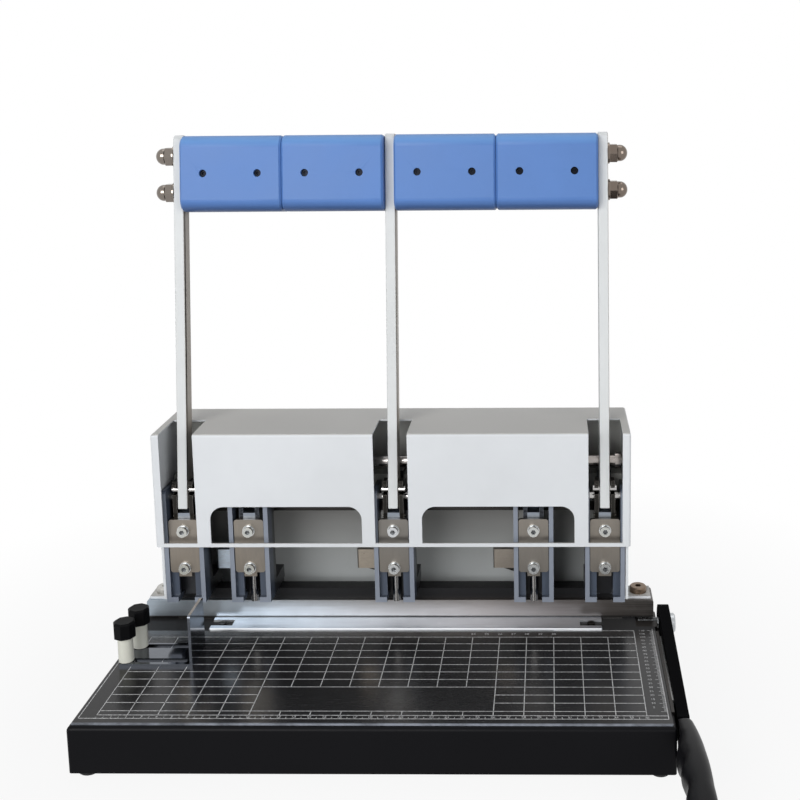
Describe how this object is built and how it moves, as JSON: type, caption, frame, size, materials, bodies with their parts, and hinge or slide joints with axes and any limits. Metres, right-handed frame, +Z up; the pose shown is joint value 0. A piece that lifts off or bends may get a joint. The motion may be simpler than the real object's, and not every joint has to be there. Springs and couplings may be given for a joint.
{
  "type": "paper binding machine",
  "caption": "Heavy-duty desk paper punch with sliding punch heads under a folded cover, a wide lever handle, a ruled board with a side guide, and a side trimmer arm.",
  "frame": {"origin": "on the table, at the centre of the front left rubber foot", "axes": "+X to the operator's right, +Y to the back, +Z up"},
  "size_m": [0.4103, 0.302, 0.4076],
  "materials": {
    "black_paint": "semi-gloss black powder coat",
    "foot_rubber": "matt black rubber",
    "printed_board": "glossy black with a white printed grid",
    "ground_steel": "ground steel",
    "cutting_steel": "bright ground edge",
    "black_screws": "black oxide",
    "white_enamel": "satin off-white enamel",
    "grey_sheet": "light grey enamel",
    "head_enamel": "blue-grey enamel",
    "plate_steel": "dull plated steel",
    "zinc_bolts": "zinc plated",
    "bronze_bolts": "yellow passivated",
    "polished_steel": "polished",
    "black_forks": "black oxide",
    "spring_steel": "spring wire",
    "lock_nickel": "nickel plated",
    "grip_plastic": "satin cornflower blue",
    "collar_plastic": "off-white nylon",
    "black_plastic": "black moulded plastic",
    "trimmer_paint": "gloss black paint"
  },
  "bodies": {
    "base": {"base_shell": "black_paint", "base_floor": "black_paint", "base_feet": "foot_rubber", "grid_board": "printed_board", "cutting_strip": "cutting_steel", "strip_screws": "black_screws", "stop_bar": "ground_steel", "lower_rail": "black_paint", "upper_rail": "black_paint", "stop_rod": "polished_steel", "side_panel_left": "white_enamel", "side_panel_right": "white_enamel", "cover": "white_enamel", "rear_panel": "grey_sheet", "housing_screws": "bronze_bolts", "head_left": "head_enamel", "head_centre": "head_enamel", "head_right": "head_enamel", "fulcrum_pins": "polished_steel", "return_springs": "spring_steel", "lock_centre": "lock_nickel", "guide_collars": "collar_plastic", "counter_blade": "ground_steel", "pivot_block": "ground_steel", "pivot_bolt": "zinc_bolts"},
    "lever": {"arm_left": "white_enamel", "arm_centre": "white_enamel", "arm_right": "white_enamel", "crank_pins": "polished_steel", "grip_1": "grip_plastic", "grip_2": "grip_plastic", "grip_3": "grip_plastic", "grip_4": "grip_plastic", "grip_screws": "black_screws", "handle_rods": "polished_steel", "acorn_nuts": "zinc_bolts"},
    "press": {"press_beam": "ground_steel", "rams": "polished_steel", "front_plates": "plate_steel", "plate_bolts": "zinc_bolts", "drive_forks": "black_forks", "punch_centre": "polished_steel"},
    "slider_left": {"head_inner_left": "head_enamel", "lock_left": "lock_nickel"},
    "slider_right": {"head_inner_right": "head_enamel", "lock_right": "lock_nickel"},
    "ram_left": {"ram_inner_left": "polished_steel", "plate_inner_left": "plate_steel", "bolts_inner_left": "zinc_bolts", "punch_inner_left": "polished_steel"},
    "ram_right": {"ram_inner_right": "polished_steel", "plate_inner_right": "plate_steel", "bolts_inner_right": "zinc_bolts", "punch_inner_right": "polished_steel"},
    "trimmer": {"trimmer_arm": "trimmer_paint", "trimmer_blade": "ground_steel", "trimmer_grip": "black_plastic"},
    "guide": {"side_guide": "polished_steel"},
    "cap_front": {"guide_cap_front": "black_plastic"},
    "cap_rear": {"guide_cap_rear": "black_plastic"}
  },
  "joints": [
    {"name": "lever_swing", "type": "hinge", "parent": "base", "child": "lever", "pos_m": [0.187, 0.1355, 0.1364], "axis": [1, 0, 0], "range_deg": [0, 90], "stiffness_Nm_per_rad": 3.2, "springref_deg": -4.58},
    {"name": "press_slide", "type": "slide", "parent": "base", "child": "press", "axis": [0, 0, -1], "range_m": [0, 0.0182], "deforming": ["return_springs"]},
    {"name": "head_slide_left", "type": "slide", "parent": "base", "child": "slider_left", "axis": [1, 0, 0], "range_m": [-0.012, 0.058]},
    {"name": "head_slide_right", "type": "slide", "parent": "base", "child": "slider_right", "axis": [1, 0, 0], "range_m": [-0.054, 0.016]},
    {"name": "ram_slide_left", "type": "slide", "parent": "slider_left", "child": "ram_left", "axis": [0, 0, -1], "range_m": [0, 0.0182]},
    {"name": "ram_slide_right", "type": "slide", "parent": "slider_right", "child": "ram_right", "axis": [0, 0, -1], "range_m": [0, 0.0182]},
    {"name": "trimmer_swing", "type": "hinge", "parent": "base", "child": "trimmer", "pos_m": [0.3896, 0.137, 0.034], "axis": [-1, 0, 0], "range_deg": [0, 65]},
    {"name": "guide_slide", "type": "slide", "parent": "base", "child": "guide", "axis": [1, 0, 0], "range_m": [-0.034, 0]},
    {"name": "cap_front_turn", "type": "hinge", "parent": "base", "child": "cap_front", "pos_m": [0.0005, 0.0705, 0.064], "axis": [0, 0, 1], "continuous": true},
    {"name": "cap_rear_turn", "type": "hinge", "parent": "base", "child": "cap_rear", "pos_m": [0.0035, 0.091, 0.064], "axis": [0, 0, 1], "continuous": true}
  ],
  "couplings": [
    {"joint": "press_slide", "follows": "lever_swing", "m_per_rad": 0.011586},
    {"joint": "ram_slide_left", "follows": "lever_swing", "m_per_rad": 0.011586},
    {"joint": "ram_slide_right", "follows": "lever_swing", "m_per_rad": 0.011586}
  ]
}
